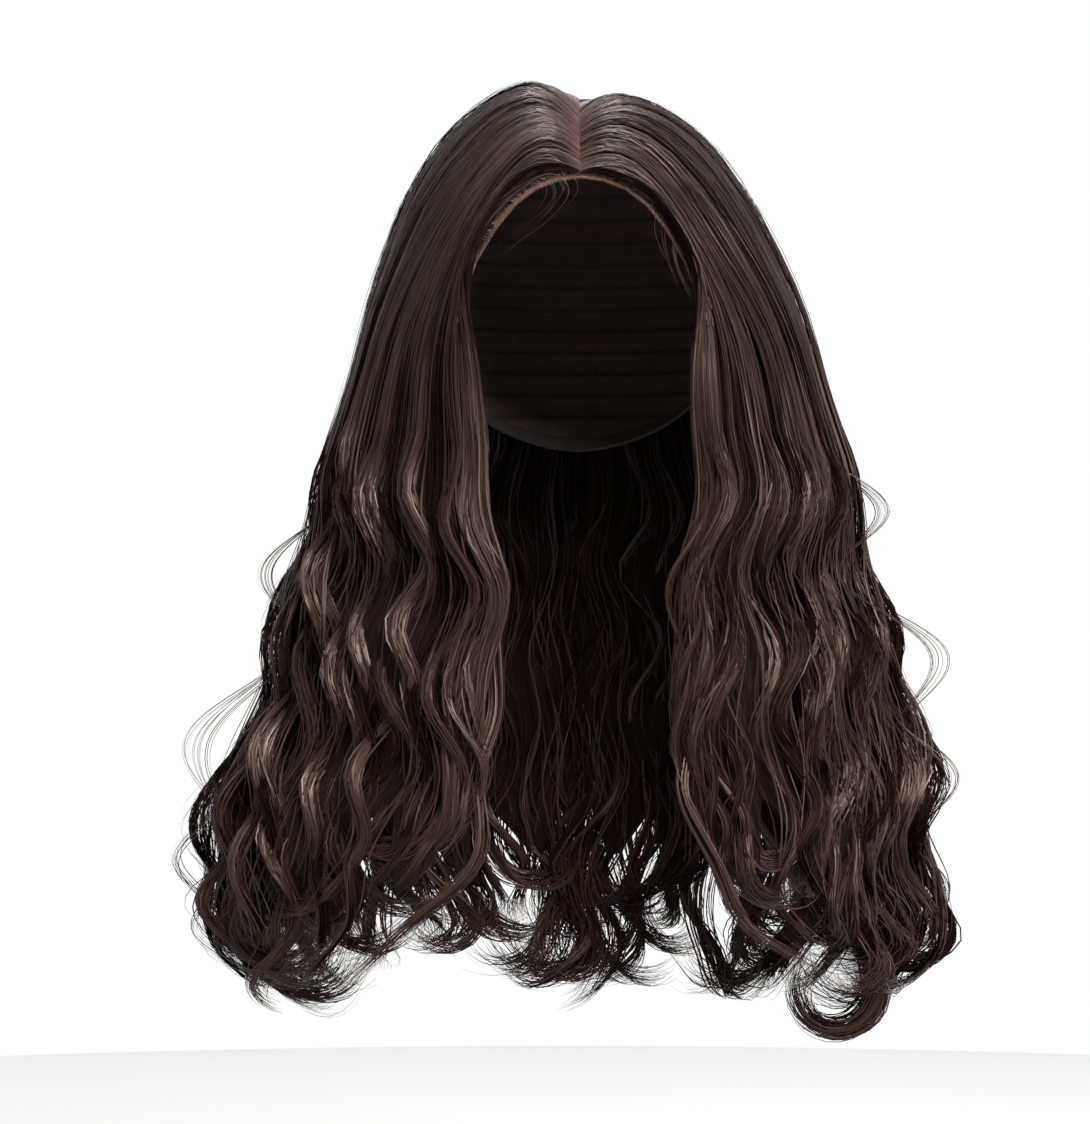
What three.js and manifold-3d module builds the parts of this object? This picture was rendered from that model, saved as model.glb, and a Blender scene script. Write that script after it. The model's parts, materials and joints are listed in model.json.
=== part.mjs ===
// A lace front wig with a centre part and long body waves, in millimetres, +Z up.
// The face looks along -Y. Left and right in names are as seen from the front: left is at -X.
// The origin is the top of the room for the head, inside the cap.
import * as THREE from 'three';
import { mergeVertices } from 'three/addons/utils/BufferGeometryUtils.js';
import Module from 'manifold-3d';

const wasm = await Module();
wasm.setup();

// Room for the head
const head_width = 150;
const head_length = 190;
const head_height_above_ears = 85;

// Cap
const net_wall = 1.5;
const lace_wall = 1.0;
const lace_depth = 102;
const band_wall = 1.6;
const band_width = 11;
const seam_gap = 0.3;
const hair_clearance = 1.0;

// Hair on the cap
const lift_left = 26;
const lift_right = 19;
const lift_side = 19;
const lift_front = 4;
const lift_back = 24;
const part_width = 3;
const part_lift = 2.5;
const lace_show = 1.5;
const crown_lock_relief = 3;

// Hanging hair
const ear_line = 112;
const fall_length = 334;
const hair_spread = 106;
const face_half_width = 50;
const front_swell = 5;
const back_swell = 36;
const lock_thickness = 44;
const wave_length = 82;
const wave_swing = 9;
const curl_thickness = 13;
const curl_radius = 21;

// How many locks and sections there are
const locks_per_side = 12;
const falls_per_side = 3;
const lock_sections = 14;
const lock_sides = 6;
const crown_locks = 6;

const head_radius = new THREE.Vector3(head_width / 2, head_length / 2, head_height_above_ears);
const head_centre = new THREE.Vector3(0, 0, -head_height_above_ears);
const rad = THREE.MathUtils.degToRad;
const lerp = THREE.MathUtils.lerp;

// A table is a heading of column names and one array for each row.
function table(heading, rows) {
  const names = heading.split(' ');
  return rows.map((row) => Object.fromEntries(names.map((name, i) => [name, row[i]])));
}

// The value of a column where the first column of the table is `at`, on a smooth curve.
function read(rows, key, column, at) {
  const last = rows.length - 1;
  let i = 0;
  while (i < last - 1 && rows[i + 1][key] < at) i += 1;
  const [a, b, c, d] = [i - 1, i, i + 1, i + 2].map((k) => rows[Math.min(Math.max(k, 0), last)]);
  const t = THREE.MathUtils.clamp((at - b[key]) / (c[key] - b[key]), 0, 1);
  const slope_in = (c[column] - a[column]) / (c[key] - a[key]) * (c[key] - b[key]);
  const slope_out = (d[column] - b[column]) / (d[key] - b[key]) * (c[key] - b[key]);
  const t2 = t * t;
  const t3 = t2 * t;
  return b[column] * (2 * t3 - 3 * t2 + 1) + slope_in * (t3 - 2 * t2 + t)
    + c[column] * (3 * t2 - 2 * t3) + slope_out * (t3 - t2);
}

// The cap's two edges, in degrees round the line through the ears: 0 looks forward, 90 up.
// `across` is the angle from the middle of the head towards an ear.
const cap_edges = table('across hairline nape', [
  [0, 38, 230],
  [15, 35.5, 230],
  [28, 27, 231],
  [42, 9, 233],
  [52, -15, 235],
  [62, -34, 233],
  [70, -25, 215],
  [76, 5, 180],
  [80, 45, 140],
]);
const ear_angle = cap_edges[cap_edges.length - 1].across;
const cap_columns = 20;

// Where the hanging hair is at each drop below the ear line, a share of fall_length.
// `left` and `right` are shares of hair_spread past the head's side, `left_in` and `right_in`
// shares of face_half_width from the middle, `front` and `back` shares of the depths there.
const fall_rows = table('drop left right left_in right_in front back thick', [
  [0.000, 0.30, 0.37, 0.94, 1.00, 0.90, 0.96, 0.70],
  [0.115, 0.42, 0.47, 0.88, 1.04, 0.92, 0.95, 0.80],
  [0.227, 0.56, 0.62, 0.78, 1.02, 0.92, 0.95, 0.88],
  [0.327, 0.65, 0.62, 0.70, 0.92, 0.93, 0.97, 0.94],
  [0.430, 0.76, 0.80, 0.76, 0.84, 0.95, 0.99, 1.00],
  [0.560, 0.91, 0.90, 0.80, 0.88, 0.98, 1.00, 1.00],
  [0.700, 1.08, 0.93, 0.96, 0.98, 1.00, 1.00, 0.96],
  [0.790, 1.05, 0.95, 1.26, 1.20, 1.00, 0.98, 0.84],
  [0.875, 0.94, 0.93, 1.90, 1.85, 0.98, 0.94, 0.66],
  [0.930, 0.80, 0.83, 2.30, 2.10, 0.96, 0.90, 0.46],
  [1.000, 0.62, 0.70, 2.50, 2.30, 0.95, 0.86, 0.26],
]);

const front_depth = head_length / 2 + front_swell;
const back_depth = head_length / 2 + back_swell;

const colours = {
  hair: 0x2b1f1c,
  lace: 0x8a5a42,
  net: 0x4a3329,
  band: 0x2a2220,
};

// A point on an egg of the given lift outside the head, where `aim` points from its centre.
function onEgg(aim, lift) {
  const point = aim.clone().normalize();
  point.x *= head_radius.x + lift.x;
  point.y *= head_radius.y + lift.y;
  point.z *= head_radius.z + lift.z;
  return point.add(head_centre);
}

const evenLift = (wall) => new THREE.Vector3(wall, wall, wall);

// The direction at an angle across the head and an angle round the line through the ears.
function aimAt(across, round) {
  const a = rad(across);
  const r = rad(round);
  return new THREE.Vector3(Math.sin(a), -Math.cos(a) * Math.cos(r), Math.cos(a) * Math.sin(r));
}

// The point of the cap's clear outside that lies from `point` straight towards `centre`.
function seatOnCap(point, centre) {
  const wall = Math.max(net_wall, band_wall) + hair_clearance;
  const size = new THREE.Vector3().copy(head_radius).addScalar(wall);
  const from = centre.clone().sub(head_centre).divide(size);
  const step = point.clone().sub(centre).divide(size);
  const a = step.dot(step);
  const b = from.dot(step);
  const c = from.dot(from) - 1;
  const t = (-b + Math.sqrt(Math.max(b * b - a * c, 0))) / a;
  return centre.clone().lerp(point, Math.min(t, 1));
}

// A closed wall between an outer and an inner surface, each a function of two shares.
function wallBetween(columns, rows, outer, inner) {
  const points = [];
  const faces = [];
  const wide = columns + 1;
  const layer = wide * (rows + 1);
  for (const surface of [outer, inner]) {
    for (let r = 0; r <= rows; r += 1) {
      for (let c = 0; c <= columns; c += 1) {
        points.push(...surface(c / columns, r / rows).toArray());
      }
    }
  }
  const at = (c, r) => r * wide + c;
  const square = (a, b, c, d) => faces.push(a, b, c, a, c, d);
  for (let r = 0; r < rows; r += 1) {
    for (let c = 0; c < columns; c += 1) {
      const ring = [at(c, r), at(c + 1, r), at(c + 1, r + 1), at(c, r + 1)];
      square(...ring);
      square(...ring.reverse().map((index) => index + layer));
    }
  }
  const rim = [];
  for (let c = 0; c < columns; c += 1) rim.push(at(c, 0));
  for (let r = 0; r < rows; r += 1) rim.push(at(columns, r));
  for (let c = columns; c > 0; c -= 1) rim.push(at(c, rows));
  for (let r = rows; r > 0; r -= 1) rim.push(at(0, r));
  rim.forEach((a, i) => {
    const b = rim[(i + 1) % rim.length];
    square(b, a, a + layer, b + layer);
  });
  return facingOut(points, faces);
}

// A closed geometry whose faces point outwards.
function facingOut(points, faces) {
  const corner = (index) => new THREE.Vector3().fromArray(points, 3 * index);
  let volume = 0;
  for (let i = 0; i < faces.length; i += 3) {
    volume += corner(faces[i]).dot(corner(faces[i + 1]).cross(corner(faces[i + 2])));
  }
  if (volume < 0) faces.reverse();
  const geometry = new THREE.BufferGeometry();
  geometry.setAttribute('position', new THREE.Float32BufferAttribute(points, 3));
  geometry.setIndex(faces);
  return geometry;
}

// A closed tube through rings of points, with a fan over each end.
function loft(rings) {
  const points = [];
  const faces = [];
  const sides = rings[0].length;
  rings.forEach((ring) => ring.forEach((point) => points.push(...point.toArray())));
  for (let r = 0; r + 1 < rings.length; r += 1) {
    for (let s = 0; s < sides; s += 1) {
      const a = r * sides + s;
      const b = r * sides + (s + 1) % sides;
      faces.push(a, b, b + sides, a, b + sides, a + sides);
    }
  }
  const last = (rings.length - 1) * sides;
  for (let s = 1; s + 1 < sides; s += 1) {
    faces.push(0, s + 1, s, last, last + s, last + s + 1);
  }
  return facingOut(points, faces);
}

function toSolid(geometry) {
  const welded = mergeVertices(geometry, 1e-5);
  return new wasm.Manifold(new wasm.Mesh({
    numProp: 3,
    vertProperties: new Float32Array(welded.attributes.position.array),
    triVerts: new Uint32Array(welded.index.array),
  }));
}

function fromSolid(solid) {
  const mesh = solid.getMesh();
  const geometry = new THREE.BufferGeometry();
  geometry.setAttribute('position', new THREE.BufferAttribute(mesh.vertProperties, 3));
  geometry.setIndex(new THREE.BufferAttribute(mesh.triVerts, 1));
  return geometry;
}

// Cap pieces: each is a wall on the head between two angles round the line through the ears.
const lace_back_angle = cap_edges[0].hairline
  + THREE.MathUtils.radToDeg(lace_depth / ((head_length / 2 + head_height_above_ears) / 2));
const seam_angle = THREE.MathUtils.radToDeg(seam_gap / head_height_above_ears) * 1.6;

const edgeAt = (column, across) => read(cap_edges, 'across', column, Math.abs(across));

function capWall(rows, wall, from, to) {
  const across = (u) => lerp(-ear_angle, ear_angle, u);
  const surface = (lift) => (u, v) => {
    const a = across(u);
    return onEgg(aimAt(a, lerp(from(a), to(a), v)), evenLift(lift));
  };
  return wallBetween(cap_columns, rows, surface(wall), surface(0));
}

// Towards the ears the lace gets narrower with the cap, and its back edge stays ahead of the nape.
function laceBack(across) {
  const room = (edgeAt('nape', across) + edgeAt('hairline', across)) / 2;
  return Math.min(lace_back_angle, room);
}

const bandAngle = (across) => THREE.MathUtils.radToDeg(band_width / head_radius.y)
  * (1 - Math.abs(across) / ear_angle * 0.55);

const laceFront = () => capWall(6, lace_wall, (a) => edgeAt('hairline', a), laceBack);
const capNet = () => capWall(8, net_wall, (a) => laceBack(a) + seam_angle, (a) => edgeAt('nape', a));
const napeBand = () => capWall(1, band_wall,
  (a) => edgeAt('nape', a) + seam_angle,
  (a) => edgeAt('nape', a) + seam_angle + bandAngle(a));

// Plan of the hanging hair. `side` is -1 for -X and 1 for +X; `u` runs from the face edge (0)
// round to the middle of the back (1).
function fallColumn(name, side, drop) {
  const named = { out: side < 0 ? 'left' : 'right', in: side < 0 ? 'left_in' : 'right_in' };
  return read(fall_rows, 'drop', named[name] ?? name, drop);
}

function plan(side, u, drop, depth) {
  const thick = fallColumn('thick', side, drop) * lock_thickness * depth;
  const wide = head_radius.x + fallColumn('out', side, drop) * hair_spread - thick;
  const front = fallColumn('front', side, drop) * front_depth - thick * 0.35;
  const back = fallColumn('back', side, drop) * back_depth - thick * 0.8;
  const edge = Math.asin(Math.min(fallColumn('in', side, drop) * face_half_width / wide, 0.98));
  const turn = lerp(edge, Math.PI, u);
  const reach = Math.cos(turn) > 0 ? front : back;
  return new THREE.Vector3(
    side * wide * Math.sin(turn),
    -reach * Math.cos(turn),
    -ear_line - drop * fall_length,
  );
}

// Hair on the cap: `u` as in the plan, `t` from the part (0) down to the ear line (1).
const part_front = cap_edges[0].hairline
  + THREE.MathUtils.radToDeg(lace_show / head_height_above_ears);
const part_end = 138;
const brow_across = 34;
const brow_drop = 5;

function crownLift(side, aim) {
  const lift_end = aim.y < 0 ? lift_front : lift_back;
  return new THREE.Vector3(lift_side, lift_end, side < 0 ? lift_left : lift_right);
}

function crownAim(side, u, t) {
  const root = aimAt(0, lerp(part_front, part_end, u));
  root.x = side * part_width / head_width;
  const end = plan(side, u, 0, 0).sub(head_centre);
  end.divide(new THREE.Vector3(head_radius.x + lift_side, end.y < 0 ? front_depth : back_depth,
    head_radius.z + crownLift(side, end).z));
  end.normalize();
  const brow = aimAt(side * brow_across, edgeAt('hairline', brow_across) - brow_drop).normalize();
  const middle = root.clone().multiplyScalar(0.25).addScaledVector(end, 0.25);
  const bow = brow.clone().sub(middle).multiplyScalar(2);
  const straight = root.clone().add(end).normalize();
  const fade = Math.max(1 - 2.2 * u, 0) ** 2;
  const control = straight.lerp(bow, fade);
  return root.multiplyScalar((1 - t) ** 2)
    .addScaledVector(control, 2 * t * (1 - t))
    .addScaledVector(end, t * t)
    .normalize();
}

function crownOuter(side, u, t) {
  const aim = crownAim(side, u, t);
  const open = THREE.MathUtils.smoothstep(t, 0, 0.15);
  const lift = crownLift(side, aim);
  const part_share = lerp(THREE.MathUtils.smoothstep(u, 0.5, 0.75), 1, open);
  const low = evenLift(net_wall + part_lift);
  const point = onEgg(aim, low.lerp(lift, part_share));
  const goal = plan(side, u, 0, 0);
  const end_aim = crownAim(side, u, 1);
  const end = onEgg(end_aim, crownLift(side, end_aim));
  point.addScaledVector(goal.sub(end), THREE.MathUtils.smoothstep(t, 0.5, 1));
  const groove = Math.abs(Math.sin(Math.PI * crown_locks * u)) ** 0.7 - 1;
  const fade = Math.min(4 * t, 1) * Math.min(8 * (1 - u), 1) * Math.min(6 * u, 1);
  return point.addScaledVector(aim, crown_lock_relief * groove * fade);
}

function crownInner(side, u, t) {
  const outer = crownOuter(side, u, t);
  const level = lerp(head_centre.z, outer.z, THREE.MathUtils.smoothstep(t, 0.4, 1));
  return seatOnCap(outer, new THREE.Vector3(0, 0, level));
}

// The two halves keep the seam gap to each other along the part and down the back.
function clearOfMiddle(side, point) {
  point.x = side * Math.max(side * point.x, seam_gap / 2);
  return point;
}

function crownHair(side) {
  return wallBetween(4 * crown_locks, 8,
    (u, t) => clearOfMiddle(side, crownOuter(side, u, t)),
    (u, t) => clearOfMiddle(side, crownInner(side, u, t)));
}

// A number from 0 to 1 that differs from lock to lock and is always the same for one lock.
const chance = (index, salt) => (Math.sin(index * 12.9898 + salt * 78.233) * 43758.5453 % 1 + 1) % 1;

// One lock: a wavy tube from the ear line to its tip. `spare` thickens it all round.
function lock(side, index, spare) {
  const u = (index + 0.8) / (locks_per_side + 0.3);
  const salt = side < 0 ? 1 : 2;
  const tip = 0.9 + 0.1 * chance(index, salt);
  const start = 2 * Math.PI * (1.7 * u + 0.18 * chance(index, salt + 4));
  const rings = [];
  for (let i = 0; i <= lock_sections; i += 1) {
    const share = i / lock_sections;
    const drop = tip * share;
    const outer = plan(side, u, drop, 0);
    const inner = plan(side, u, drop, 1);
    const ahead = plan(side, Math.max(u - 0.5 / locks_per_side, 0), drop, 0.5);
    const behind = plan(side, Math.min(u + 0.5 / locks_per_side, 1), drop, 0.5);
    const along = behind.clone().sub(ahead);
    const pitch = along.length();
    along.normalize();
    const outward = new THREE.Vector3(-along.y, along.x, 0).multiplyScalar(side < 0 ? -1 : 1);
    if (outward.x * outer.x + outward.y * outer.y < 0) outward.negate();
    const turn = start + 2 * Math.PI * drop * fall_length / wave_length;
    const swing = wave_swing * THREE.MathUtils.smoothstep(drop, 0.03, 0.4) * Math.min(0.6 + 2 * u, 1);
    const centre = outer.clone().add(inner).multiplyScalar(0.5)
      .addScaledVector(along, swing * Math.cos(turn))
      .addScaledVector(outward, swing * 0.7 * Math.sin(turn));
    centre.z = -ear_line - seam_gap - drop * fall_length;
    const taper = 1 - 0.84 * THREE.MathUtils.smoothstep(share, 0.72, 1.02);
    const wide = Math.min(0.8 * pitch, 0.6 * lock_thickness) * taper + spare;
    const deep = 0.5 * outer.distanceTo(inner) * taper + spare;
    const ring = [];
    for (let s = 0; s < lock_sides; s += 1) {
      const angle = 2 * Math.PI * (s + 0.5) / lock_sides;
      ring.push(centre.clone()
        .addScaledVector(along, wide * Math.cos(angle))
        .addScaledVector(outward, deep * Math.sin(angle)));
    }
    rings.push(ring);
  }
  return toSolid(loft(rings));
}

// The piece of a solid that holds most of it.
function largest(solid) {
  const pieces = solid.decompose();
  return pieces.reduce((best, piece) => (piece.volume() > best.volume() ? piece : best));
}

const locks_per_fall = locks_per_side / falls_per_side;

// The hook curl: a tapering lock that leaves the front fall at the right and turns up at its end.
const curl_turn = { from: 10, to: 262 };
const curl_start_drop = 0.74;

function hookCurl(spare) {
  const start = plan(1, 0.36, curl_start_drop, 0.5);
  const middle = plan(1, 0.30, 1, 0.5);
  middle.x -= curl_radius * 0.9;
  middle.z = -ear_line - fall_length + curl_radius + curl_thickness / 2;
  const steps = 12;
  const path = [start, start.clone().lerp(middle, 0.5).add(new THREE.Vector3(curl_radius * 0.6, 0, 0))];
  for (let i = 0; i <= steps; i += 1) {
    const turn = rad(lerp(curl_turn.from, curl_turn.to, i / steps));
    path.push(new THREE.Vector3(Math.cos(turn), -0.12 * i / steps, -Math.sin(turn))
      .multiplyScalar(curl_radius).add(middle));
  }
  const curve = new THREE.CatmullRomCurve3(path);
  const rings = [];
  for (let i = 0; i <= steps + 2; i += 1) {
    const share = i / (steps + 2);
    const centre = curve.getPointAt(share);
    const ahead = curve.getTangentAt(share);
    const side = new THREE.Vector3(0, 1, 0);
    const up = side.clone().cross(ahead).normalize();
    const size = (curl_thickness / 2) * (1 - 0.8 * THREE.MathUtils.smoothstep(share, 0.45, 1.02)) + spare;
    const ring = [];
    for (let s = 0; s < lock_sides; s += 1) {
      const angle = 2 * Math.PI * s / lock_sides;
      ring.push(centre.clone()
        .addScaledVector(side, size * 1.3 * Math.cos(angle))
        .addScaledVector(up, size * Math.sin(angle)));
    }
    rings.push(ring);
  }
  return toSolid(loft(rings));
}
const fall_order = [
  { name: 'fall_front_left', side: -1, place: 0 },
  { name: 'fall_side_left', side: -1, place: 1 },
  { name: 'fall_back_left', side: -1, place: 2 },
  { name: 'fall_back_right', side: 1, place: 2 },
  { name: 'fall_side_right', side: 1, place: 1 },
  { name: 'fall_front_right', side: 1, place: 0 },
];

function fallOf({ side, place }, spare) {
  let solid = null;
  for (let i = 0; i < locks_per_fall; i += 1) {
    const piece = lock(side, place * locks_per_fall + i, spare);
    solid = solid ? solid.add(piece) : piece;
  }
  if (side > 0 && place === 0) solid = solid.add(hookCurl(spare));
  return solid;
}

// The egg that the hanging hair keeps clear of: the outside of the cap and its band.
function headEgg() {
  const egg = new THREE.SphereGeometry(1, 28, 18);
  const lift = Math.max(net_wall, band_wall) + hair_clearance;
  egg.scale(head_radius.x + lift, head_radius.y + lift, head_radius.z + lift);
  egg.translate(...head_centre.toArray());
  egg.deleteAttribute('normal');
  egg.deleteAttribute('uv');
  return toSolid(egg);
}

function fallGeometries() {
  const made = [];
  const head = headEgg();
  fall_order.forEach((fall, i) => {
    let solid = fallOf(fall, 0).subtract(head);
    if (i > 0) solid = solid.subtract(fallOf(fall_order[i - 1], seam_gap * 1.5));
    made.push({ name: fall.name, geometry: fromSolid(largest(solid)) });
  });
  return made;
}

function finish(color, roughness) {
  return new THREE.MeshStandardMaterial({ color, roughness, metalness: 0 });
}

function named(name, geometry, material) {
  const mesh = new THREE.Mesh(geometry, material);
  mesh.name = name;
  return mesh;
}

const wig = new THREE.Group();
wig.add(named('lace_front', laceFront(), finish(colours.lace, 0.8)));
wig.add(named('cap_net', capNet(), finish(colours.net, 0.85)));
wig.add(named('nape_band', napeBand(), finish(colours.band, 0.8)));
wig.add(named('crown_hair_left', crownHair(-1), finish(colours.hair, 0.4)));
wig.add(named('crown_hair_right', crownHair(1), finish(colours.hair, 0.4)));
for (const fall of fallGeometries()) {
  wig.add(named(fall.name, fall.geometry, finish(colours.hair, 0.4)));
}

export default wig;
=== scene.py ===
# %% [markdown]
# # A lace front wig, dressed strand by strand
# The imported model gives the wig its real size: a net cap, a lace panel and solid locks of hair.
# This lesson grows thousands of fine strands in place of the solid locks, gives every piece a
# material made of nodes, and sets a plain pale studio round the wig. Blender's own hair curves
# would also do, but faces can be exported, so the strands here are thin ribbons.

# %% Load the frame
import json
import math

import bpy
import numpy as np
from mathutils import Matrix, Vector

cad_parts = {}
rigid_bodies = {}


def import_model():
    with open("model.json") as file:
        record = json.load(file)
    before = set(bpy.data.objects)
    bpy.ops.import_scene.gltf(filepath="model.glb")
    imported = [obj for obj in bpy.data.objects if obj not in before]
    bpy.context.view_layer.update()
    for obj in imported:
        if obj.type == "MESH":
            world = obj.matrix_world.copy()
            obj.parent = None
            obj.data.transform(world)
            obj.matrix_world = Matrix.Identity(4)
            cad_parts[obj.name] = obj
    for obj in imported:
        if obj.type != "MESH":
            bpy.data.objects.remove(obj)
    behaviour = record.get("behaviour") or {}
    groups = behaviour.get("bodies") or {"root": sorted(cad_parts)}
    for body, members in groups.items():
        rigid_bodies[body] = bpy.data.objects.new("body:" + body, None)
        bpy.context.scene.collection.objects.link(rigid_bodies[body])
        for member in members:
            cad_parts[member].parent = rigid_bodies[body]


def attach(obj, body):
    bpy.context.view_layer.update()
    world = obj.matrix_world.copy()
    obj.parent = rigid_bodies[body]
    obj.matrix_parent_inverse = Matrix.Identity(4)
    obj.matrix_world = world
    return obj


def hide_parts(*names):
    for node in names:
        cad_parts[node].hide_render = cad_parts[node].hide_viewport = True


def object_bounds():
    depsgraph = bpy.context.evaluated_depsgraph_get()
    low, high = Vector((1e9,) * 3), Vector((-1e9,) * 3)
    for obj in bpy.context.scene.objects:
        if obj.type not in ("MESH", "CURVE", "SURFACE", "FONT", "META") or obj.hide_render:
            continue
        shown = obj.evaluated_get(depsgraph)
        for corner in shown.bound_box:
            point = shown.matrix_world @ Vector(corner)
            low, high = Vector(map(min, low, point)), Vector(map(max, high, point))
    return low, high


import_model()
cad_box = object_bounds()
print("CAD box in metres:", cad_box)

# %% [markdown]
# ## Sizes
# Hair follows the head, so the strands are worked out from the same few sizes as the solids:
# the room for the head, how far the hair stands off it, and how long it hangs. They are in
# metres here. A reader who changes one of them should change the solids too.

# %% Named sizes
head_radius = np.array([0.075, 0.095, 0.085])
head_centre = np.array([0.0, 0.0, -0.085])
net_wall, hair_clearance = 0.0016, 0.0010
lift_left, lift_right = 0.026, 0.019
lift_side, lift_front, lift_back = 0.019, 0.004, 0.024
part_width, part_lift, lace_show = 0.003, 0.0025, 0.0015
ear_line, fall_length = 0.112, 0.334
hair_spread, face_half_width = 0.106, 0.050
front_depth = head_radius[1] + 0.005
back_depth = head_radius[1] + 0.036
lock_thickness = 0.044
wave_length, wave_swing = 0.082, 0.009
curl_thickness, curl_radius = 0.013, 0.021
locks_per_side, falls_per_side = 12, 3
part_end, brow_across, brow_drop = 138.0, 34.0, 5.0
print("hair hangs", ear_line + fall_length, "m below the top of the head room")

# %% [markdown]
# ## Two short tables
# A hairdresser reads a style as an outline that changes from the ears down to the tips. The
# first table says where that outline lies at each drop, as shares of the sizes above. The
# second gives the two edges of the cap as angles. A smooth curve through the rows fills in
# what lies between them, so ten rows are enough for half a metre of hair.

# %% The outline tables
fall_columns = "drop left right left_in right_in front back thick".split()
fall_rows = np.array([
    [0.000, 0.30, 0.37, 0.94, 1.00, 0.90, 0.96, 0.70],
    [0.115, 0.42, 0.47, 0.88, 1.04, 0.92, 0.95, 0.80],
    [0.227, 0.56, 0.62, 0.78, 1.02, 0.92, 0.95, 0.88],
    [0.327, 0.65, 0.62, 0.70, 0.92, 0.93, 0.97, 0.94],
    [0.430, 0.76, 0.80, 0.76, 0.84, 0.95, 0.99, 1.00],
    [0.560, 0.91, 0.90, 0.80, 0.88, 0.98, 1.00, 1.00],
    [0.700, 1.08, 0.93, 0.96, 0.98, 1.00, 1.00, 0.96],
    [0.790, 1.05, 0.95, 1.26, 1.20, 1.00, 0.98, 0.84],
    [0.875, 0.94, 0.93, 1.90, 1.85, 0.98, 0.94, 0.66],
    [0.930, 0.80, 0.83, 2.30, 2.10, 0.96, 0.90, 0.46],
    [1.000, 0.62, 0.70, 2.50, 2.30, 0.95, 0.86, 0.26],
])
cap_columns = "across hairline nape".split()
cap_rows = np.array([
    [0, 38, 230],
    [15, 35.5, 230],
    [28, 27, 231],
    [42, 9, 233],
    [52, -15, 235],
    [62, -34, 233],
    [70, -25, 215],
    [76, 5, 180],
    [80, 45, 140],
])


def curve_through(rows, column, at):
    """The value of a column on a smooth curve through the rows, at shares of the first column."""
    key, value = rows[:, 0], rows[:, column]
    at = np.clip(at, key[0], key[-1])
    b = np.clip(np.searchsorted(key, at, side="left") - 1, 0, len(key) - 2)
    a, c, d = np.maximum(b - 1, 0), b + 1, np.minimum(b + 2, len(key) - 1)
    span = key[c] - key[b]
    t = (at - key[b]) / span
    slope_in = (value[c] - value[a]) / (key[c] - key[a]) * span
    slope_out = (value[d] - value[b]) / (key[d] - key[b]) * span
    return (
        value[b] * (2 * t**3 - 3 * t**2 + 1)
        + slope_in * (t**3 - 2 * t**2 + t)
        + value[c] * (3 * t**2 - 2 * t**3)
        + slope_out * (t**3 - t**2)
    )


def fall_at(name, drop):
    return curve_through(fall_rows, fall_columns.index(name), drop)


def cap_at(name, across):
    return curve_through(cap_rows, cap_columns.index(name), np.abs(across))


print("widest at the drop of", fall_rows[fall_rows[:, 1].argmax(), 0])

# %% [markdown]
# ## The hair as a thick sheet
# Every strand has two addresses. The first, `u`, runs from the edge of the face (0) round to
# the middle of the back (1). The second, `depth`, runs from the outside of the hair (0) to
# its inside (1). `plan` turns them into a place below the ears, and `crown` into a place on
# the way from the parting down to the ears.

# %% Helpers for places
def smooth(x, low, high):
    t = np.clip((x - low) / (high - low), 0, 1)
    return t * t * (3 - 2 * t)


def mix(a, b, t):
    return a + (b - a) * t


def unit(v):
    return v / np.maximum(np.linalg.norm(v, axis=-1, keepdims=True), 1e-9)


def stack(*parts):
    return np.stack(np.broadcast_arrays(*parts), axis=-1).astype(float)


def aim_at(across, round_):
    a, r = np.radians(across), np.radians(round_)
    return stack(np.sin(a), -np.cos(a) * np.cos(r), np.cos(a) * np.sin(r))


def on_egg(aim, lift):
    return unit(aim) * (head_radius + lift) + head_centre


def plan(side, u, drop, depth):
    """A place in the hanging hair. side is -1 or 1, and the rest are arrays."""
    out, inner = ("left", "left_in") if side < 0 else ("right", "right_in")
    thick = fall_at("thick", drop) * lock_thickness * depth
    wide = head_radius[0] + fall_at(out, drop) * hair_spread - thick
    front = fall_at("front", drop) * front_depth - thick * 0.35
    back = fall_at("back", drop) * back_depth - thick * 0.8
    edge = np.arcsin(np.minimum(fall_at(inner, drop) * face_half_width / wide, 0.98))
    turn = mix(edge, np.pi, u)
    reach = np.where(np.cos(turn) > 0, front, back)
    return stack(
        side * wide * np.sin(turn),
        -reach * np.cos(turn),
        -ear_line - drop * fall_length,
    )


def lift_at(side, aim):
    top = lift_left if side < 0 else lift_right
    return stack(lift_side, np.where(aim[..., 1] < 0, lift_front, lift_back), top)


part_front = cap_rows[0, 1] + math.degrees(lace_show / head_radius[2])
root_sweep = 8.0


def crown_aim(side, u, t):
    """The way from the head's centre to a strand that leaves the parting at t = 0."""
    round_ = mix(part_front, part_end, u) - root_sweep * (1 - smooth(t, 0, 0.3))
    root = aim_at(0 * u, np.maximum(round_, part_front))
    root[..., 0] = side * part_width / (2 * head_radius[0]) * (0.5 - 0.45 * smooth(u, 0.45, 0.6))
    end = plan(side, u, 0 * u, 0 * u) - head_centre
    end = end / stack(
        head_radius[0] + lift_side,
        np.where(end[..., 1] < 0, front_depth, back_depth),
        head_radius[2] + (lift_left if side < 0 else lift_right),
    )
    end = unit(end)
    brow = unit(aim_at(side * brow_across, cap_at("hairline", brow_across) - brow_drop))
    bow = (brow - 0.25 * root - 0.25 * end) * 2
    fade = np.maximum(1 - 2.2 * u, 0)[..., None] ** 2
    control = mix(unit(root + end), bow, fade)
    t = t[..., None]
    return unit(root * (1 - t) ** 2 + control * 2 * t * (1 - t) + end * t * t)


def seat_on_cap(point, centre):
    """Where the line from a point in towards a centre meets the clear outside of the cap."""
    size = head_radius + net_wall + hair_clearance
    start = (centre - head_centre) / size
    step = (point - centre) / size
    a = (step * step).sum(-1)
    b = (start * step).sum(-1)
    c = (start * start).sum(-1) - 1
    t = (-b + np.sqrt(np.maximum(b * b - a * c, 0))) / a
    return centre + (point - centre) * np.minimum(t, 1)[..., None]


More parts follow.
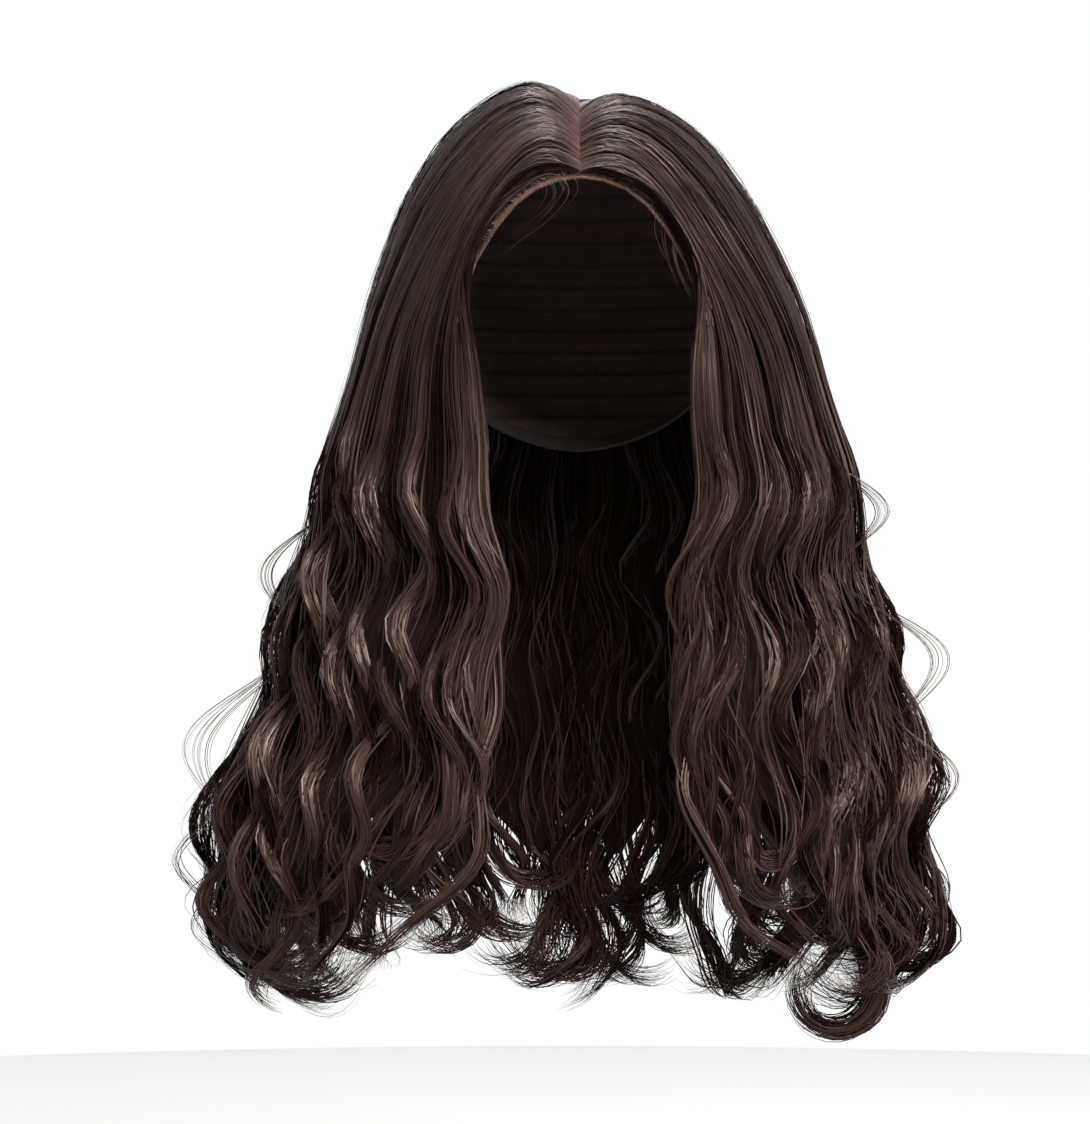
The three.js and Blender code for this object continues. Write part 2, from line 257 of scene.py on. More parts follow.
def crown(side, u, t, depth):
    """A place in the hair on the cap, at the same depth that plan() goes on with at t = 1."""
    aim = crown_aim(side, u, t)
    open_ = 1 - (1 - np.clip(t / 0.2, 0, 1)) ** 2.4
    own_lift = lift_at(side, aim)
    shared = np.minimum(own_lift, [lift_side, lift_back, lift_right - 0.002])
    share = mix(smooth(u, 0.5, 0.75), 1, open_)[..., None]
    outer = on_egg(aim, mix(net_wall + part_lift, mix(shared, own_lift, open_[..., None]), share))
    end_aim = crown_aim(side, u, 0 * t + 1)
    goal = plan(side, u, 0 * t, 0 * t)
    outer = outer + (goal - on_egg(end_aim, lift_at(side, end_aim))) * smooth(t, 0.5, 1)[..., None]
    level = mix(head_centre[2], outer[..., 2], smooth(t, 0.4, 1))
    inner = seat_on_cap(outer, stack(0 * level, 0 * level, level))
    down = smooth(t, 0.5, 1)[..., None]
    inward = mix(inner - outer, plan(side, u, 0 * t, 0 * t + 1) - goal, down)
    place = outer + inward * depth[..., None]
    place[..., 0] = side * np.maximum(side * place[..., 0], 0.0002)
    return place


print("parting from", on_egg(aim_at(0.0, part_front), 0.004))
print("parting to", on_egg(aim_at(0.0, part_end), 0.004))

# %% [markdown]
# ## Body wave
# A body wave is set on rods, lock by lock. Each lock swings in a loose S while it hangs, and
# its neighbours swing a little later. The same formula made the solids, so strands and solids
# rise and fall together. Strands start evenly spread at the parting. On the way down they
# gather into small clumps, and the clumps into locks. That is what separates real long hair
# from a curtain.

# %% Locks and their waves
def chance(index, salt):
    """The same number from 0 to 1 for a lock each time, as the solids have it."""
    return np.mod(np.sin(index * 12.9898 + salt * 78.233) * 43758.5453, 1.0)


def lock_middle(index):
    return (index + 0.8) / (locks_per_side + 0.3)


def lock_start(side, index):
    salt = 1 if side < 0 else 2
    return 2 * np.pi * (1.7 * lock_middle(index) + 0.18 * chance(index, salt + 4))


def lock_tip(side, index):
    return 0.9 + 0.1 * chance(index, 1 if side < 0 else 2)


def along_and_out(side, u, drop):
    """Unit arrays along the sheet of hair, and out of it, seen in plan."""
    step = 0.01
    ahead = plan(side, np.clip(u - step, 0, 0.98), drop, 0 * drop + 0.5)
    behind = plan(side, np.clip(u + step, 0.02, 1), drop, 0 * drop + 0.5)
    along = unit(behind - ahead)
    out = stack(-along[..., 1], along[..., 0], 0 * drop)
    place = plan(side, np.minimum(u, 1), drop, 0 * drop)
    flip = np.where((out[..., :2] * place[..., :2]).sum(-1) < 0, -1.0, 1.0)
    return along, out * flip[..., None]


print("locks on each side:", locks_per_side)

# %% [markdown]
# ## Chances
# Chance works on two levels. Most of it is drawn once for a clump of about eighty strands:
# where it lies, how it swings, and the size and direction of the curl that it ends in. A
# little more is drawn for each strand. With too much of the second kind hair looks like wire
# wool, and with none of it like rope. A seed makes the same chances come up in every run.

# %% What chance gives each clump and strand
strands_per_lock, clumps_per_lock = 412, 5
edge_strands = 300
lock_pitch = 1 / (locks_per_side + 0.3)
rng = np.random.default_rng(27)


class Hair:
    """The strands of one side. Every value is a column with one row for each strand."""

    def __init__(self):
        counts = np.full(locks_per_side, strands_per_lock)
        counts[0] += edge_strands
        self.count = counts.sum()
        self.lock = np.repeat(np.arange(locks_per_side), counts)[:, None]
        self.middle = lock_middle(self.lock)
        place = np.concatenate([np.arange(c) / c for c in counts])[:, None]
        self.clump = self.lock * clumps_per_lock + (place * clumps_per_lock).astype(int)
        self.at_edge = (self.lock == 0) & (self.each() < edge_strands / counts[0])
        self.fill = self.each() < np.where(self.lock >= 8, 0.4, 0.07)

    def each(self, low=0.0, high=1.0):
        """A chance of its own for each strand."""
        return rng.uniform(low, high, (self.count, 1))

    def near(self, value, spread):
        """A chance of its own for each strand that is most often close to a value."""
        return rng.normal(value, spread, (self.count, 1))


def draw_clumps(hair, side):
    """What the strands of a clump share: its place in the lock, its swing and its curl."""
    total = locks_per_side * clumps_per_lock
    angle = rng.uniform(0, 2 * np.pi, total)
    radius = np.sqrt(rng.uniform(0.02, 1, total))
    heart = 0.42 + 0.05 * (side > 0)
    hair.clump_u = (radius * np.cos(angle) * 0.78)[hair.clump] * lock_pitch
    hair.clump_depth = np.clip(heart - 0.46 * radius * np.sin(angle), 0.0, 1)[hair.clump]
    hair.phase = rng.normal(0, 0.62, total)[hair.clump]
    hair.rate = rng.normal(1, 0.045, total)[hair.clump]
    hair.swing = rng.uniform(0.75, 1.35, total)[hair.clump]
    hair.low = rng.uniform(0, 0.2, total)[hair.clump]
    hair.reach = rng.uniform(0.86, 1.0, total)[hair.clump]
    hair.roll = rng.normal(0, 0.22, total)[hair.clump]
    hair.twist = rng.uniform(0.001, 0.005, total)[hair.clump]
    hair.twist_phase = rng.uniform(0, 2 * np.pi, total)[hair.clump]
    hair.twist_way = rng.choice([-1.0, 1.0], total)[hair.clump]
    hair.curl_size = rng.uniform(0.013, 0.025, total)[hair.clump] * hair.near(1, 0.12)
    hair.curl_turn = rng.uniform(1.1, 3.5, total)[hair.clump]
    front, back = 1 - smooth(hair.middle, 0.1, 0.35), smooth(hair.middle, 0.6, 0.8)
    aim = rng.normal(0, 0.45, total)[hair.clump] + 0.8 * front
    aim = aim + 1.1 * hair.twist_way * back + hair.near(0, 0.15)
    hair.curl_aim = np.clip(aim, -1.4, 1.4)


def draw_strands(hair, side):
    """What each strand has of its own: where it starts, how it strays and where it ends."""
    slot = (hair.clump % clumps_per_lock + hair.each(-0.25, 1.25)) / clumps_per_lock - 0.5
    u = hair.middle + slot * 1.1 * lock_pitch + hair.fill * hair.each(-0.5, 0.5) * lock_pitch
    across_back = (hair.lock == locks_per_side - 1) & hair.fill
    u = np.where(across_back, hair.each(0.93, 1.035), np.clip(u, 0.0, 0.999))
    hair.u = np.where(hair.at_edge, hair.each(0, 0.014), u)
    hair.depth = np.where(hair.at_edge, hair.each(), hair.each() ** 2.2 * 0.8 + hair.low)
    hair.wander = rng.normal(0, 1, (4, hair.count, 1))
    luck = hair.each()
    hair.stray = (luck < 0.14) * 1.4 + (luck < 0.04) * hair.each(1.5, 4.5)
    short = 1 - 0.17 * np.clip(1 - hair.middle / 0.2, 0, 1)
    bottom = lock_tip(side, hair.lock) * short * hair.reach - hair.each(0, 0.03)
    curl_drop = hair.curl_size * np.sin(np.minimum(hair.curl_turn, np.pi / 2)) / fall_length
    hair.curl_start = bottom - curl_drop
    tip = hair.curl_start + hair.curl_turn * hair.each(0.6, 1.1) * hair.curl_size / fall_length
    hair.tip = tip - (hair.each() < 0.25) * hair.each(0, 0.15)


print("clumps on each side:", locks_per_side * clumps_per_lock)

# %% [markdown]
# ## Growing the strands
# One array holds the path of every strand of one side, from its root at the parting to its
# tip. It is cut at the ear line afterwards: the part above it covers the crown solid, and the
# part below it covers the fall that its lock belongs to, so no seam shows. Steps are shorter
# near the tips, because a tight curl needs them and straight hair doesn't.

# %% Strand paths
crown_steps, fall_steps = 14, 36
upward = np.array([0, 0, 1.0])


def easy(paths, middle, reach, passes):
    """Soften a bend of all paths near one step."""
    low, high = middle - reach, middle + reach + 1
    for _ in range(passes):
        part = paths[:, low:high]
        paths[:, low + 1:high - 1] = (part[:, :-2] + 2 * part[:, 1:-1] + part[:, 2:]) / 4
    return paths


def moved(paths, along, out, sideways, outwards):
    return paths + along * sideways[..., None] + out * outwards[..., None]


def crown_paths(hair, side):
    """From the parting over the cap to the ear line, with the way that the hair faces."""
    wander = hair.wander
    top = np.linspace(0, 1, crown_steps) ** hair.each(1.2, 1.65)
    root_t = np.where(hair.depth < 0.3, 0.0, hair.each(0, 0.6)) * np.minimum(hair.depth * 1.4, 1)
    root_t = np.where(hair.at_edge, hair.each(0, 0.8) ** 1.4, root_t)
    t = root_t + (1 - root_t) * top
    cross = 0.006 * smooth(t, 0.03, 0.4) * np.sin(6 * t + 3 * wander[3]) * wander[1]
    u = np.clip(np.minimum(hair.u, 0.999) + cross * (~hair.at_edge), 0, 0.999)
    hold = 0.25 * smooth(t, 0.35, 1)
    u = mix(u, np.clip(hair.middle + hair.clump_u, 0, 0.999), hold)
    paths = crown(side, u, t, mix(hair.depth + 0 * t, hair.clump_depth, hold))
    facing = unit(paths - head_centre * np.array([1, 1, 1.1]))
    forward = (hair.at_edge * hair.depth)[..., None]
    facing = unit(mix(facing, np.array([0.0, -1.0, 0.25]), forward))
    fuzz = 0.0006 * (1 + 0.3 * hair.stray) * smooth(t, 0.02, 0.3)
    bend = np.sin(t * 9 + 4 * wander[2]) * wander[0]
    paths = paths + facing * (fuzz * bend)[..., None]
    paths[..., 0] -= side * hair.each(0, 0.0008) * (1 - smooth(t, 0, 0.12))
    return paths, facing, t


def gathered(hair, share, drop):
    """Where strands lie in the sheet of hair as they gather into clumps on the way down."""
    tie = np.where(hair.fill, np.where(hair.lock > 10, 0.12, 0.35), 1)
    tie = mix(tie, np.maximum(tie, 0.8), smooth(drop, 0.55, 0.85))
    gather = (0.25 + 0.3 * smooth(drop, 0.03, 0.35) + 0.25 * smooth(drop, 0.4, 0.8)) * tie
    closing = 1 - 0.25 * smooth(share, 0.72, 1.02)
    u = np.clip(mix(hair.u, hair.middle + hair.clump_u * closing, gather), 0, 1.035)
    return u, mix(hair.depth, 0.5 + (hair.clump_depth - 0.5) * closing, gather)


def waved(hair, side, paths, along, out, share, drop, still):
    """The body wave of the lock, then a slow drift and a small twist of the clump."""
    s = still * fall_length
    turn = lock_start(side, hair.lock) + hair.phase * smooth(drop, 0.02, 0.5)
    turn = turn + 2 * np.pi * hair.rate * still * fall_length / wave_length
    turn = turn + 0.35 * np.sin(still * 7 + hair.twist_phase)
    edge_share = np.minimum(0.6 + 2 * hair.middle, 1) * np.where(hair.fill, 0.35, 1)
    swing = wave_swing * smooth(drop, 0.0, 0.34) * edge_share * hair.swing
    paths = moved(paths, along, out, swing * np.cos(turn), 0.6 * swing * np.sin(turn))
    slow = np.sin(2 * np.pi * s / (2.3 * wave_length) + 2 * hair.twist_phase)
    paths = paths + along * (0.004 * smooth(drop, 0.1, 0.5) * slow)[..., None]
    turn = hair.twist_phase + hair.twist_way * 2 * np.pi * s / (0.85 * wave_length)
    twist = 0.001 * smooth(drop, 0.05, 0.5) + hair.twist * smooth(share, 0.68, 1.0)
    return moved(paths, along, out, twist * np.cos(turn), twist * np.sin(turn))


def frizzed(hair, paths, along, out, drop):
    """Small bends that each strand has for itself."""
    wander, s = hair.wander, drop * fall_length
    frizz = (0.0002 + 0.0007 * smooth(drop, 0.1, 1.0)) * (1 + hair.stray)
    long_bend = np.sin(s * (2 * np.pi / 0.11) + 3 * wander[2])
    short_bend = np.sin(s * (2 * np.pi / 0.047) + 5 * wander[3])
    sideways = frizz * (wander[0] * long_bend + 0.4 * short_bend)
    outwards = frizz * (wander[1] * long_bend - 0.4 * short_bend)
    return moved(paths, along, out, sideways, outwards)


def fall_paths(hair, side):
    """From the ear line down to the tip, with the way that the hair faces."""
    share = np.interp(np.linspace(0, 1, fall_steps), [0, 0.6, 1], [0, 0.74, 1])[None, :]
    drop = hair.tip * share
    over = np.maximum(drop - hair.curl_start, 0)
    still = drop - over + 0.035 * np.tanh(over / 0.035)
    u, depth = gathered(hair, share, drop)
    paths = plan(side, u, still, depth)
    paths[..., 2] = -ear_line - drop * fall_length
    along, out = along_and_out(side, u, still)
    paths = waved(hair, side, paths, along, out, share, drop, still)
    paths = frizzed(hair, paths, along, out, drop)

    # From curl_start on, the path follows a circle.
    arc = (over * fall_length / hair.curl_size)[..., None]
    way = along * np.sin(hair.curl_aim)[..., None] - out * np.cos(hair.curl_aim)[..., None]
    curl = way * (1 - np.cos(arc)) + upward * (arc - np.sin(arc))
    paths = paths + curl * hair.curl_size[..., None]

    # A little more body beside the temples.
    temple = np.exp(-(((paths[..., 2] + 0.145) / 0.07) ** 2))
    temple = temple * np.sin(np.pi * np.clip(u * 1.25, 0, 1)) ** 2
    paths = paths + out * (0.005 * temple)[..., None]

    # The flat of each ribbon looks out of its lock, and turns with the curl.
    in_lock = np.clip((hair.u - hair.middle) / lock_pitch * 2.4, -1.3, 1.3)
    in_clump = np.clip((hair.u - hair.middle - hair.clump_u) / lock_pitch * 1.5, -1.2, 1.2)
    bulge = mix(in_lock, in_clump, 0.5 * smooth(drop, 0.4, 0.8)) * smooth(drop, -0.1, 0.15)
    facing = unit(out + along * bulge[..., None])
    lean = -(facing * way).sum(-1, keepdims=True)
    facing = facing + lean * (way * (1 - np.cos(arc)) - upward * np.sin(arc))
    return paths, facing


def strand_paths(side):
    """Paths and facings (strand, step, xyz), rolls, widths, locks, and which show on the crown."""
    hair = Hair()
    draw_clumps(hair, side)
    draw_strands(hair, side)
    upper, upper_facing, t = crown_paths(hair, side)
    lower, lower_facing = fall_paths(hair, side)
    upper = upper + (lower[:, :1] - upper[:, -1:]) * smooth(t, 0.6, 1)[..., None]
    join = crown_steps - 1
    paths = easy(np.concatenate([upper[:, :-1], lower], axis=1), join, 4, 5)
    facing = easy(np.concatenate([upper_facing[:, :-1], lower_facing], axis=1), join, 6, 6)
    grow = np.linspace(0, 1, paths.shape[1])
    width = hair.each(0.00036, 0.00071) * (0.75 + 0.5 * smooth(grow, 0.1, 0.5))
    width = width * (1 - 0.85 * smooth(grow, 0.87, 1.0))
    roll = hair.roll + hair.each(-0.4, 0.4) + hair.near(0, 0.2) * grow
    seen = (hair.depth < 0.34) | (hair.u < 0.13)
    return paths, facing, roll, width, hair.lock[:, 0], seen[:, 0]


print("strands on each side:", locks_per_side * strands_per_lock + edge_strands)

# %% [markdown]
# ## From paths to ribbons
# A strand could be a curve object, but an exported model needs faces. Each path becomes a
# ribbon of quads, one for each step. A ribbon is turned about its own path by a random angle,
# so a patch of many ribbons reflects light as round hairs do: across the strands the shine
# spreads, and along them it stays narrow. One UV map, OFBake, fills the square of each piece
# for baking. The other, Strand, holds the strand's number on the whole side, so its tone runs
# on where two pieces meet.

# %% Ribbons as one mesh
def ribbon_edges(paths, facing, roll, width):
    """Both edges of one ribbon for each path, as (strand, step, edge, xyz)."""
    ahead = unit(np.gradient(paths, axis=1))
    across = unit(np.cross(ahead, facing))
    face = np.cross(across, ahead)
    edge = across * np.cos(roll)[..., None] + face * np.sin(roll)[..., None]
    half = edge * (width / 2)[..., None]
    return np.stack([paths - half, paths + half], axis=2)


def ribbon_faces(edges, start=0.0, stop=1.0, seen=None):
    """Corners, quads and UVs of ribbons. start and stop are the shares of the whole strand.

    seen marks which strands of a side these are, where they aren't all of them.
    """
    pitch = 1 / (len(edges) if seen is None else len(seen))
    n, steps = edges.shape[:2]
    points = edges.reshape(-1, 3)
    first = (np.arange(n)[:, None] * steps + np.arange(steps - 1)[None, :]).reshape(-1) * 2
    quads = np.stack([first, first + 1, first + 3, first + 2], axis=1)
    v = np.linspace(start, stop, steps)
    x = (np.arange(n) if seen is None else np.flatnonzero(seen)) * pitch
    low = np.stack(np.broadcast_arrays(x[:, None], v[None, :]), -1)
    high = low + np.array([0.8 * pitch, 0.0])
    uv = np.stack([low, high], axis=2).reshape(-1, 2)
    return points, quads, uv[quads.reshape(-1)]


def mesh_object(name, parts, materials, span):
    """One object from several (points, quads, uv, material index) parts.

    span says which share of all the strands of its side the object holds.
    """
    points, quads, uvs, slots, base = [], [], [], [], 0
    for p, q, uv, slot in parts:
        points.append(p)
        quads.append(q + base)
        uvs.append(uv)
        slots.append(np.full(len(q), slot))
        base += len(p)
    points, quads = np.concatenate(points), np.concatenate(quads)
    mesh = bpy.data.meshes.new(name)
    mesh.vertices.add(len(points))
    mesh.vertices.foreach_set("co", points.astype(np.float32).ravel())
    mesh.loops.add(quads.size)
    mesh.loops.foreach_set("vertex_index", quads.astype(np.int32).ravel())
    mesh.polygons.add(len(quads))
    mesh.polygons.foreach_set("loop_start", np.arange(0, quads.size, 4, dtype=np.int32))
    mesh.polygons.foreach_set("material_index", np.concatenate(slots).astype(np.int32))
    mesh.update()
    uvs = np.concatenate(uvs)
    numbers = uvs * [span[1] - span[0], 1] + [span[0], 0]
    for layer_name, values in (("OFBake", uvs), ("Strand", numbers)):
        layer = mesh.uv_layers.new(name=layer_name)
        layer.uv.foreach_set("vector", values.astype(np.float32).ravel())
    mesh.polygons.foreach_set("use_smooth", np.ones(len(quads), dtype=bool))
    for material in materials:
        mesh.materials.append(material)
    mesh.validate()
    piece = bpy.data.objects.new(name, mesh)
    bpy.context.scene.collection.objects.link(piece)
    return piece


# %% [markdown]
# ## Shader maths that reads like maths
# A node tree is easier to follow as an expression. `Wire` wraps one socket. Adding or
# multiplying two wires adds the Math node that does it, and `node` makes any other node.

# %% A socket that can be used in expressions
class Wire:
    def __init__(self, tree, socket):
        self.tree, self.socket = tree, socket

    def node(self, kind, settings=None, output=0, **inputs):
        made = self.tree.nodes.new(kind)
        for key, value in (settings or {}).items():
            setattr(made, key, value)
        for key, value in inputs.items():
            numbered = key[0] == "i" and key[1:].isdigit()
            socket = made.inputs[int(key[1:]) if numbered else key.replace("_", " ")]
            if isinstance(value, Wire):
                self.tree.links.new(value.socket, socket)
            else:
                socket.default_value = value
        return Wire(self.tree, made.outputs[output])

    def maths(self, operation, a, b=0.0):
        return self.node("ShaderNodeMath", {"operation": operation}, i0=a, i1=b)

    def __add__(self, other):
        return self.maths("ADD", self, other)

    def __sub__(self, other):
        return self.maths("SUBTRACT", self, other)

    def __mul__(self, other):
        return self.maths("MULTIPLY", self, other)

    def __rsub__(self, other):
        return self.maths("SUBTRACT", other, self)

    def floor(self):
        return self.maths("FLOOR", self)

    def sine(self):
        return self.maths("SINE", self)

    def power(self, exponent):
        return self.maths("POWER", self, exponent)

    __radd__ = __add__
    __rmul__ = __mul__

    def blend(self, low, high):
        """A colour that goes from low to high as this value goes from 0 to 1."""
        return self.node("ShaderNodeMix", {"data_type": "RGBA"}, output=2, i0=self, i6=low, i7=high)


def new_material(name, **constants):
    """A material, its Principled shader with constant settings, and a wire to build from."""
    material = bpy.data.materials.new(name)
    material.use_nodes = True
    tree = material.node_tree
    shader = tree.nodes["Principled BSDF"]
    for key, value in constants.items():
        shader.inputs[key.replace("_", " ")].default_value = value
    return material, shader, Wire(tree, None)


def feed(wire, shader, name):
    wire.tree.links.new(wire.socket, shader.inputs[name])


# %% [markdown]
# ## Hair
# Dark brown hair is nearly black where it shades itself and a soft greyish brown where it
# catches the light. No two strands match, and the ends are a little lighter and redder than
# the rest. The strand's number in the UV map picks its own tone through White Noise, and a
# soft noise over the number and the length gives neighbours a tone in common. Near the roots
# the hair is paler: a painted highlight for the light that the flat hair at the parting catches from
# above.

# %% The hair material
def warm(value):
    return (value * 1.15, value * 0.63, value * 0.54, 1.0)


def hair_material(name, low, high, root, roughness, level, ridge=0.0):
    constants = {"Specular_IOR_Level": level, "Specular_Tint": (1.0, 0.72, 0.64, 1)}
    material, shader, start = new_material(name, **constants)
    uv = start.node("ShaderNodeUVMap", {"uv_map": "Strand"})
    x = start.node("ShaderNodeSeparateXYZ", i0=uv)
    length = start.node("ShaderNodeSeparateXYZ", output=1, i0=uv)
    hair = start.node("ShaderNodeTexWhiteNoise", {"noise_dimensions": "1D"}, W=(x * 6000.0).floor())
    patch = start.node("ShaderNodeCombineXYZ", i0=x * 60.0, i1=length * 7.0)
    lock = start.node("ShaderNodeTexNoise", {"noise_dimensions": "2D"}, Vector=patch, Detail=1.0)
    tone = start.node("ShaderNodeClamp", Value=hair * 0.45 + lock * 1.5 - 0.48)
    # Towards the roots the base colour turns to the root colour: a painted highlight of the flat hair
    # at the parting.
    root_highlight = start.node("ShaderNodeClamp", Value=1 - length * 20.0)
    body = (root_highlight * 0.7).blend(tone.blend(low, high), root)
    ends = (length * length * 0.35).blend(body, (high[0] * 1.6, high[1] * 1.2, high[2] * 1.05, 1))
    feed(ends, shader, "Base Color")
    feed(hair * 0.16 + roughness, shader, "Roughness")
    if ridge:
        comb = start.node("ShaderNodeTexNoise", {"noise_dimensions": "1D"}, W=x * 700.0, Detail=2.0)
        feed(start.node("ShaderNodeBump", Height=comb, Distance=ridge), shader, "Normal")
    return material


# For the strands, warm(0.045) is the painted highlight near the roots.
strand_material = hair_material("hair_strands", warm(0.0028), warm(0.0152), warm(0.045), 0.33, 0.2)
# The shells' colours are painted shade, darker than the strands.
shade_body_material = hair_material("hair_body_painted_shade", warm(0.002), warm(0.010), warm(0.004), 0.4, 0.15, 0.0012)

# %% [markdown]
# ## The body under the strands
# Real hair hides what lies behind it by sheer number. Ribbons alone would need millions of
# faces for that, so dark closed shells lie inside the hair: one on each side of the cap, and
# a wavy one with a ragged end in each fall. Their colour is painted shade, darker than the
# strands, so that between the strands they pass for more hair in the shade. Strands that run
# under the shell of the cap can't be seen and are left out.

# %% A closed shell
def shell_arrays(low, high):
    """Quads of a closed shell between two grids of (column, row, xyz), with their rims."""
    columns, rows = low.shape[:2]
    index = np.arange(columns * rows).reshape(columns, rows)
    far = index + columns * rows
    quads = []
    for grid, turned in ((index, False), (far, True)):
        cells = [grid[:-1, :-1], grid[1:, :-1], grid[1:, 1:], grid[:-1, 1:]]
        quads.append(np.stack(cells[::-1] if turned else cells, axis=-1).reshape(-1, 4))
    rim = np.concatenate([index[:-1, 0], index[-1, :-1], index[:0:-1, -1], index[0, :0:-1]])
    far_rim = rim + columns * rows
    after, far_after = np.roll(rim, -1), np.roll(far_rim, -1)
    quads.append(np.stack([after, rim, far_rim, far_after], axis=-1))
    quads = np.concatenate(quads)
    c, r = np.meshgrid(np.linspace(0, 1, columns), np.linspace(0, 0.35, rows), indexing="ij")
    uv = np.tile(np.stack([c, r], axis=-1).reshape(-1, 2), (2, 1))
    return np.concatenate([low.reshape(-1, 3), high.reshape(-1, 3)]), quads, uv[quads.reshape(-1)]


def crown_body(side, columns=56, rows=40):
    u, t = np.linspace(0.03, 0.995, columns), np.linspace(0.02, 0.995, rows)
    u, t = np.meshgrid(u, t, indexing="ij")
    low = crown(side, u, t, 0 * u + 0.25)
    high = crown(side, u, t, 0 * u + 0.85)
    return shell_arrays(low, high) if side < 0 else shell_arrays(high, low)


def fall_body(side, first, last, columns=28, rows=30):
    """A dark wavy shell in painted shade deep inside the hanging hair. It ends lower at the back."""
    share = np.linspace(0, 1, rows)[None, :]
    u = np.linspace(first, last, columns)[:, None] + 0 * share
    ragged = 0.05 * np.cos(2 * np.pi * (locks_per_side + 0.3) * (u - 0.065))
    drop = share * (0.70 + 0.02 * (first > 0.5) + ragged + 0.03 * np.sin(37 * u))
    turn = 2 * np.pi * (1.7 * u + 0.09) + 2 * np.pi * drop * fall_length / wave_length
    swing = 0.7 * wave_swing * smooth(drop, 0.03, 0.4)
    along, out = along_and_out(side, u, drop)
    wave = along * (swing * np.cos(turn) * np.sin(np.pi * (u - first) / (last - first)))[..., None]
    wave = wave + out * (0.7 * swing * np.sin(turn))[..., None]
    thin = 1 - 0.8 * smooth(share, 0.6, 1)
    deep = 0.52 if side < 0 else 0.6
    low = plan(side, u, drop, deep - 0.09 * thin) + wave
    high = plan(side, u, drop, deep + 0.09 * thin) + wave
    return shell_arrays(low, high) if side < 0 else shell_arrays(high, low)


# %% [markdown]
# ## Curls that leave the rest
# Three kinds of loose hair give the outline its charm: an open hook at the lower right, a
# thin wisp beside each side of the neck, and small loops that stand off the sides. The hook and
# the wisps are each a bundle of strands round one smooth line, so these two share one function;
# the loops are lifted straight off the sheet of hair.

# %% Loose curls
# Wisps as rows of (drop, metres from the middle).
wisps = {
    -1: [(0.38, 0.042), (0.47, 0.040), (0.55, 0.041), (0.71, 0.050),
         (0.78, 0.067), (0.83, 0.090), (0.91, 0.118)],
    1: [(0.42, 0.047), (0.55, 0.050), (0.65, 0.052), (0.74, 0.059),
        (0.81, 0.078), (0.85, 0.103), (0.90, 0.127)],
}
# Loops as (where it begins, how long it is, how far it stands off in metres).
loops = {
    -1: [(0.22, 0.18, 0.013), (0.43, 0.25, 0.022), (0.64, 0.18, 0.009), (0.76, 0.15, 0.006)],
    1: [(0.14, 0.16, 0.010), (0.32, 0.22, 0.019), (0.52, 0.18, 0.013), (0.70, 0.14, 0.005)],
}


def smooth_line(knots, steps):
    """Evenly spaced points on a softened line through a few knots."""
    reach = np.concatenate([[0], np.cumsum(np.linalg.norm(np.diff(knots, axis=0), axis=1))])
    at = np.linspace(0, reach[-1], steps)
    line = np.stack([np.interp(at, reach, knots[:, i]) for i in range(3)], -1)
    for _ in range(4):
        line[1:-1] = (line[:-2] + 2 * line[1:-1] + line[2:]) / 4
    return line


def bundle(line, count, radius, fan, spread):
    """Strands round a line. spread lets each one take a wider or tighter turn than the line."""
    steps = len(line)
    share = np.linspace(0, 1, steps)
    ahead = unit(np.gradient(line, axis=0))
    side = unit(np.cross(ahead, np.cross([0.0, 1.0, 0.0], ahead)))
    up = np.cross(side, ahead)
    angle, away = rng.uniform(0, 2 * np.pi, count), np.sqrt(rng.uniform(0, 1, count))
    open_ = rng.normal(0, fan, (count, 1)) * smooth(share, 0.5, 1.0) + 1
    x = (away * np.cos(angle))[:, None] * radius * 1.4 * open_
    y = (away * np.sin(angle))[:, None] * radius * open_
    facing = x[..., None] * side + y[..., None] * up
    paths = line + facing + rng.normal(0, 0.002, (count, 1, 3)) * smooth(share, 0.3, 1)[None, :, None]
    heart = line[-steps * 2 // 5:].mean(0)
    paths = paths + (line - heart) * (spread[:, None] * smooth(share, 0.35, 0.75))[..., None]
    at = share * rng.uniform(0.7, 1.0, (count, 1)) * (steps - 1)
    low = np.clip(at.astype(int), 0, steps - 2)
    part = (at - low)[..., None]
    row = np.arange(count)[:, None]
    paths = paths[row, low] * (1 - part) + paths[row, low + 1] * part
    return paths, unit(facing), rng.uniform(-0.5, 0.5, (count, 1)) + 0 * at


def hook_strands(count=210, steps=34):
    middle = plan(1, np.array(0.30), np.array(1.0), np.array(0.5))
    middle = middle - np.array([curl_radius * 0.9, 0, 0])
    middle[2] = -ear_line - fall_length + curl_radius + curl_thickness / 2
    turns = np.radians(np.linspace(-20, 240, 14))
    ring = stack(np.cos(turns), -0.12 * np.linspace(0, 1, 14), -np.sin(turns))
    ring = ring * curl_radius * 1.1 + middle
    stem = middle + np.array([
        [-0.052, -0.030, 0.110],
        [-0.034, -0.024, 0.079],
        [-0.010, -0.014, 0.050],
        [0.011, -0.006, 0.027],
    ])
    line = smooth_line(np.concatenate([stem, ring]), steps)
    share = np.linspace(0, 1, steps)
    spread = rng.normal(0, 0.05, count)
    tighter = rng.uniform(0, 1, count) < 0.35
    spread = spread - tighter * rng.uniform(0, 0.5, count) ** 1.3
    radius = curl_thickness * (0.42 - 0.25 * smooth(share, 0.3, 0.9))
    made = bundle(line, count, radius, 0.3, spread)
    return *made, rng.uniform(0.0006, 0.0011, (count, 1)) * (1 - 0.75 * smooth(share, 0.7, 1))


